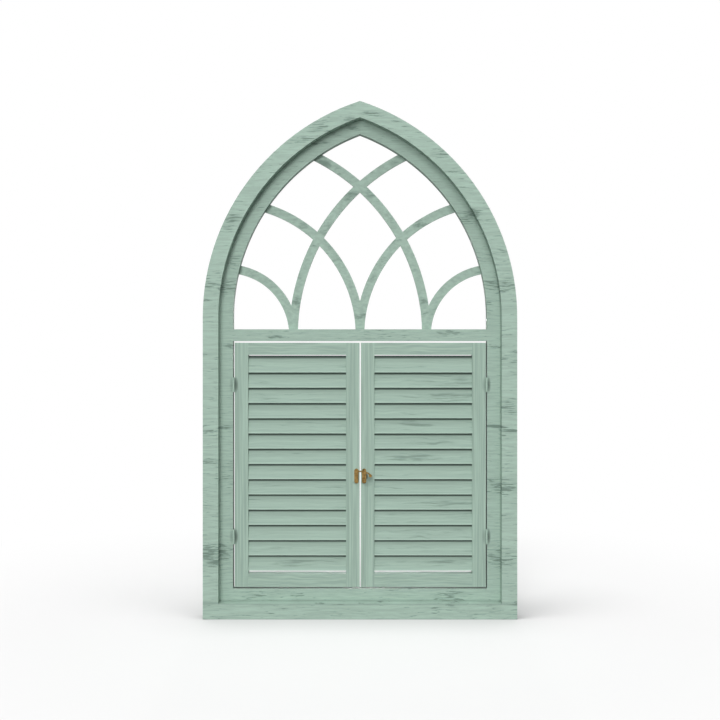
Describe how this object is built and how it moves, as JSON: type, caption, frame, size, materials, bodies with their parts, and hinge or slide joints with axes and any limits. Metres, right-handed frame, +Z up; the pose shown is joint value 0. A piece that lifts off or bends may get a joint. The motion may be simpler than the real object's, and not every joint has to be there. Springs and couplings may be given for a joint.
{
  "type": "pointed arch window frame with louvred shutters",
  "caption": "Pointed-arch window frame in painted wood, with a raised border, open interlacing tracery above a mid rail, and hinged louvred shutter doors held by a swing-hook latch.",
  "frame": {"origin": "on the floor under the middle of the frame, halfway through its depth", "axes": "+Z up, the front faces -Y, +X to the right seen from the front"},
  "size_m": [0.61, 0.038, 1.0055],
  "materials": {
    "frame_paint": "distressed green paint, dark grain streaks",
    "tracery_paint": "distressed green paint",
    "stile_paint": "green paint over upright grain",
    "rail_paint": "green paint over level grain",
    "slat_paint": "green paint over level grain",
    "hinge_paint": "painted over with the frame",
    "pin_steel": "plain steel",
    "latch_brass": "antique brass"
  },
  "bodies": {
    "frame": {"arch_panel": "frame_paint", "raised_border": "frame_paint", "tracery": "tracery_paint", "hinge_pins": "pin_steel", "upper_left_frame_leaf": "hinge_paint", "lower_left_frame_leaf": "hinge_paint", "upper_right_frame_leaf": "hinge_paint", "lower_right_frame_leaf": "hinge_paint"},
    "left_door": {"left_hinge_stile": "stile_paint", "left_lock_stile": "stile_paint", "left_top_rail": "rail_paint", "left_bottom_rail": "rail_paint", "left_slat_01": "slat_paint", "left_slat_02": "slat_paint", "left_slat_03": "slat_paint", "left_slat_04": "slat_paint", "left_slat_05": "slat_paint", "left_slat_06": "slat_paint", "left_slat_07": "slat_paint", "left_slat_08": "slat_paint", "left_slat_09": "slat_paint", "left_slat_10": "slat_paint", "left_slat_11": "slat_paint", "left_slat_12": "slat_paint", "left_slat_13": "slat_paint", "left_slat_14": "slat_paint", "upper_left_door_leaf": "hinge_paint", "lower_left_door_leaf": "hinge_paint", "keeper_plate": "latch_brass", "keeper_stud": "latch_brass"},
    "right_door": {"right_hinge_stile": "stile_paint", "right_lock_stile": "stile_paint", "right_top_rail": "rail_paint", "right_bottom_rail": "rail_paint", "right_slat_01": "slat_paint", "right_slat_02": "slat_paint", "right_slat_03": "slat_paint", "right_slat_04": "slat_paint", "right_slat_05": "slat_paint", "right_slat_06": "slat_paint", "right_slat_07": "slat_paint", "right_slat_08": "slat_paint", "right_slat_09": "slat_paint", "right_slat_10": "slat_paint", "right_slat_11": "slat_paint", "right_slat_12": "slat_paint", "right_slat_13": "slat_paint", "right_slat_14": "slat_paint", "upper_right_door_leaf": "hinge_paint", "lower_right_door_leaf": "hinge_paint", "latch_plate": "latch_brass", "latch_rivet": "latch_brass"},
    "latch_hook": {"latch_hook": "latch_brass"}
  },
  "joints": [
    {"name": "left_door_hinge", "type": "hinge", "parent": "frame", "child": "left_door", "pos_m": [-0.24715, -0.00265, 0.3], "axis": [0, 0, -1], "range_deg": [0, 140]},
    {"name": "right_door_hinge", "type": "hinge", "parent": "frame", "child": "right_door", "pos_m": [0.24765, -0.00265, 0.3], "axis": [0, 0, 1], "range_deg": [0, 140]},
    {"name": "latch_hook_pivot", "type": "hinge", "parent": "right_door", "child": "latch_hook", "pos_m": [0.008, -0.00255, 0.281], "axis": [0, 1, 0], "range_deg": [0, 100]}
  ]
}
